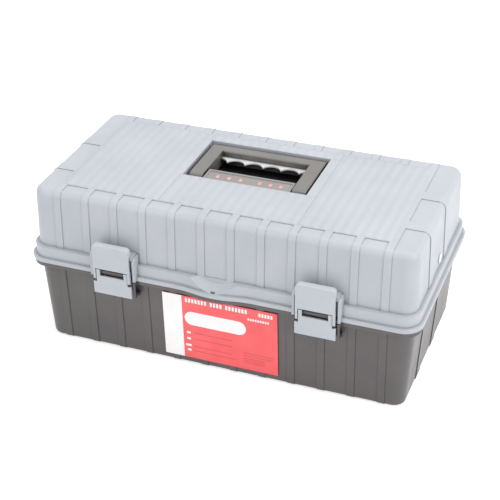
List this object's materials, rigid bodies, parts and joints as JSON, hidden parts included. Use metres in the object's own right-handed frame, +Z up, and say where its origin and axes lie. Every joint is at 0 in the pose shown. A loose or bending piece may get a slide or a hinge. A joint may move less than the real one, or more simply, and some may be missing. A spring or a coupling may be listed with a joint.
{
  "type": "tool case",
  "caption": "Hinged tool case with a deep base, ribbed lid with folding handle, two draw latches at the front and two trays on arms that rise with the lid.",
  "frame": {"origin": "middle of the base's flat underside, on the plane the case stands on", "axes": "+X along the case's length, +Y from the latches towards the hinge, +Z up"},
  "size_m": [0.4, 0.2208, 0.169],
  "materials": {
    "base_plastic": "moulded polypropylene, satin grain",
    "lid_plastic": "moulded polypropylene, satin grain",
    "handle_plastic": "moulded polypropylene, matt grain",
    "grip_plastic": "moulded polypropylene, satin grain",
    "latch_plastic": "moulded polyamide, satin",
    "tray_plastic": "moulded polypropylene, matt",
    "divider_plastic": "polystyrene sheet, matt",
    "arm_steel": "zinc-plated pressed steel",
    "pin_steel": "drawn steel pin",
    "rivet_pale": "white-capped rivet head",
    "label_film": "printed film, satin"
  },
  "bodies": {
    "base": {"base_shell": "base_plastic", "front_label": "label_film", "hinge_pin_left": "pin_steel", "hinge_pin_right": "pin_steel", "base_rivets": "arm_steel"},
    "lid": {"lid_shell": "lid_plastic", "handle_seat": "handle_plastic", "lid_rivets": "rivet_pale"},
    "handle": {"handle": "handle_plastic", "handle_grip": "grip_plastic"},
    "latch_lever_left": {"latch_lever_left": "latch_plastic"},
    "latch_lever_right": {"latch_lever_right": "latch_plastic"},
    "latch_link_left": {"latch_link_left": "latch_plastic"},
    "latch_link_right": {"latch_link_right": "latch_plastic"},
    "long_arms": {"long_arm_left": "arm_steel", "long_arm_right": "arm_steel"},
    "short_arms": {"short_arm_left": "arm_steel", "short_arm_right": "arm_steel"},
    "lower_tray": {"lower_tray": "tray_plastic", "lower_tray_rivets": "arm_steel", "lower_tray_divider_1": "divider_plastic", "lower_tray_divider_2": "divider_plastic"},
    "upper_tray": {"upper_tray": "tray_plastic", "upper_tray_rivets": "arm_steel", "upper_tray_divider_1": "divider_plastic", "upper_tray_divider_2": "divider_plastic", "upper_tray_divider_3": "divider_plastic"}
  },
  "joints": [
    {"name": "lid_hinge", "type": "hinge", "parent": "base", "child": "lid", "pos_m": [0, 0.108, 0.092], "axis": [-1, 0, 0], "range_deg": [0, 100]},
    {"name": "handle_pivot", "type": "hinge", "parent": "lid", "child": "handle", "pos_m": [0, -0.0053, 0.1598], "axis": [1, 0, 0], "range_deg": [0, 92]},
    {"name": "long_arm_pivot", "type": "hinge", "parent": "base", "child": "long_arms", "pos_m": [0, 0.034, 0.08], "axis": [-1, 0, 0], "range_deg": [0, 100]},
    {"name": "short_arm_pivot", "type": "hinge", "parent": "base", "child": "short_arms", "pos_m": [0, 0.06, 0.068], "axis": [-1, 0, 0], "range_deg": [0, 100]},
    {"name": "upper_tray_pivot", "type": "hinge", "parent": "lid", "child": "upper_tray", "pos_m": [0, -0.004, 0.117], "axis": [-1, 0, 0], "range_deg": [-100, 0]},
    {"name": "lower_tray_pivot", "type": "hinge", "parent": "long_arms", "child": "lower_tray", "pos_m": [0, -0.018, 0.086], "axis": [-1, 0, 0], "range_deg": [-100, 0]},
    {"name": "latch_lever_left_pivot", "type": "hinge", "parent": "base", "child": "latch_lever_left", "pos_m": [-0.1034, -0.1032, 0.0965], "axis": [-1, 0, 0], "range_deg": [0, 100]},
    {"name": "latch_link_left_pivot", "type": "hinge", "parent": "latch_lever_left", "child": "latch_link_left", "pos_m": [-0.1034, -0.1054, 0.092], "axis": [1, 0, 0], "range_deg": [0, 108]},
    {"name": "latch_lever_right_pivot", "type": "hinge", "parent": "base", "child": "latch_lever_right", "pos_m": [0.1034, -0.1032, 0.0965], "axis": [-1, 0, 0], "range_deg": [0, 100]},
    {"name": "latch_link_right_pivot", "type": "hinge", "parent": "latch_lever_right", "child": "latch_link_right", "pos_m": [0.1034, -0.1054, 0.092], "axis": [1, 0, 0], "range_deg": [0, 108]}
  ],
  "couplings": [
    {"joint": "long_arm_pivot", "follows": "lid_hinge", "ratio": 1},
    {"joint": "short_arm_pivot", "follows": "lid_hinge", "ratio": 1},
    {"joint": "upper_tray_pivot", "follows": "lid_hinge", "ratio": -1},
    {"joint": "lower_tray_pivot", "follows": "lid_hinge", "ratio": -1},
    {"joint": "latch_link_left_pivot", "follows": "latch_lever_left_pivot", "ratio": 1.08},
    {"joint": "latch_link_right_pivot", "follows": "latch_lever_right_pivot", "ratio": 1.08}
  ]
}
